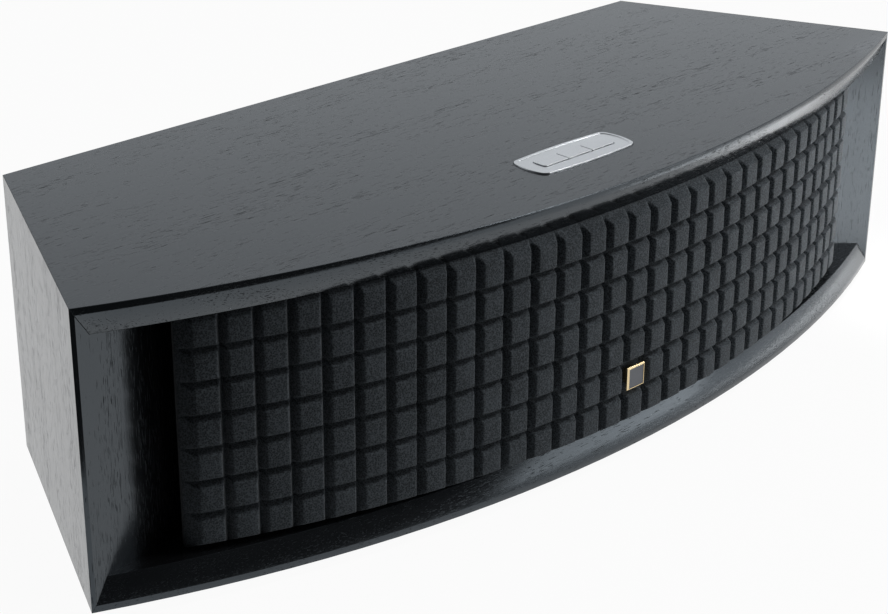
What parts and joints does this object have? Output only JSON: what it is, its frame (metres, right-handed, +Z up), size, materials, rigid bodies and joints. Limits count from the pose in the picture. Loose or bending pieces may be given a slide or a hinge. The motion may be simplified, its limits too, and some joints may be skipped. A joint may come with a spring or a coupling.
{
  "type": "wireless speaker",
  "caption": "One-box stereo wireless speaker: black veneer cabinet with a curved block-foam grille, a metal control plate on top and rear bass ports.",
  "frame": {"origin": "on the ground under the middle of the cabinet's box", "axes": "+X along the width, -Y out of the grille, +Z up"},
  "size_m": [0.62, 0.23, 0.165],
  "materials": {
    "black_veneer": "satin open-pore lacquer",
    "black_board": "matt paint",
    "block_foam": "open-cell foam",
    "black_plastic": "fine texture",
    "black_rubber": "matt",
    "gold_metal": "polished",
    "grey_enamel": "gloss",
    "satin_aluminium": "satin anodised",
    "black_steel": "powder coat",
    "magnet_steel": "plated",
    "copper_winding": "enamelled wire",
    "spider_cloth": "treated cloth",
    "cone_paper": "coated pulp",
    "screw_steel": "black zinc",
    "bright_contact": "nickel plated",
    "circuit_board": "solder mask",
    "bare_aluminium": "extruded",
    "capacitor_sleeve": "shrink sleeve"
  },
  "bodies": {
    "cabinet": {"aux_socket": "black_plastic", "badge_face": "grey_enamel", "badge_rim_tile": "gold_metal", "board_posts": "bright_contact", "bottom_panel": "black_veneer", "capacitors": "capacitor_sleeve", "connector_plate": "black_steel", "connector_screws": "screw_steel", "control_plate": "satin_aluminium", "feet": "black_rubber", "foot_screws": "screw_steel", "front_baffle": "black_board", "grille_cups": "black_rubber", "grille_foam": "block_foam", "grille_frame": "black_plastic", "heat_sink": "bare_aluminium", "inlet_pins": "bright_contact", "key_board": "circuit_board", "left_cheek": "black_veneer", "left_divider": "black_board", "left_port": "black_plastic", "left_side_panel": "black_veneer", "left_tweeter_dome": "spider_cloth", "left_tweeter_horn": "black_plastic", "left_tweeter_magnet": "magnet_steel", "left_woofer_basket": "black_steel", "left_woofer_coil": "copper_winding", "left_woofer_cone": "cone_paper", "left_woofer_dust_cap": "cone_paper", "left_woofer_magnet": "magnet_steel", "left_woofer_spider": "spider_cloth", "left_woofer_surround": "black_rubber", "main_board": "circuit_board", "mains_inlet": "black_plastic", "network_socket": "black_plastic", "power_board": "circuit_board", "rear_panel": "black_board", "right_cheek": "black_veneer", "right_divider": "black_board", "right_port": "black_plastic", "right_side_panel": "black_veneer", "right_tweeter_dome": "spider_cloth", "right_tweeter_horn": "black_plastic", "right_tweeter_magnet": "magnet_steel", "right_woofer_basket": "black_steel", "right_woofer_coil": "copper_winding", "right_woofer_cone": "cone_paper", "right_woofer_dust_cap": "cone_paper", "right_woofer_magnet": "magnet_steel", "right_woofer_spider": "spider_cloth", "right_woofer_surround": "black_rubber", "top_panel": "black_veneer", "transformer": "magnet_steel", "tweeter_screws": "screw_steel", "usb_socket": "bright_contact", "woofer_screws": "screw_steel"},
    "power_key": {"power_key": "satin_aluminium"},
    "volume_down_key": {"volume_down_key": "satin_aluminium"},
    "volume_up_key": {"volume_up_key": "satin_aluminium"}
  },
  "joints": [
    {"name": "power_key_press", "type": "slide", "parent": "cabinet", "child": "power_key", "axis": [0, 0, -1], "range_m": [0, 0.0005], "stiffness_N_per_m": 1500},
    {"name": "volume_down_key_press", "type": "slide", "parent": "cabinet", "child": "volume_down_key", "axis": [0, 0, -1], "range_m": [0, 0.0005], "stiffness_N_per_m": 1500},
    {"name": "volume_up_key_press", "type": "slide", "parent": "cabinet", "child": "volume_up_key", "axis": [0, 0, -1], "range_m": [0, 0.0005], "stiffness_N_per_m": 1500}
  ]
}
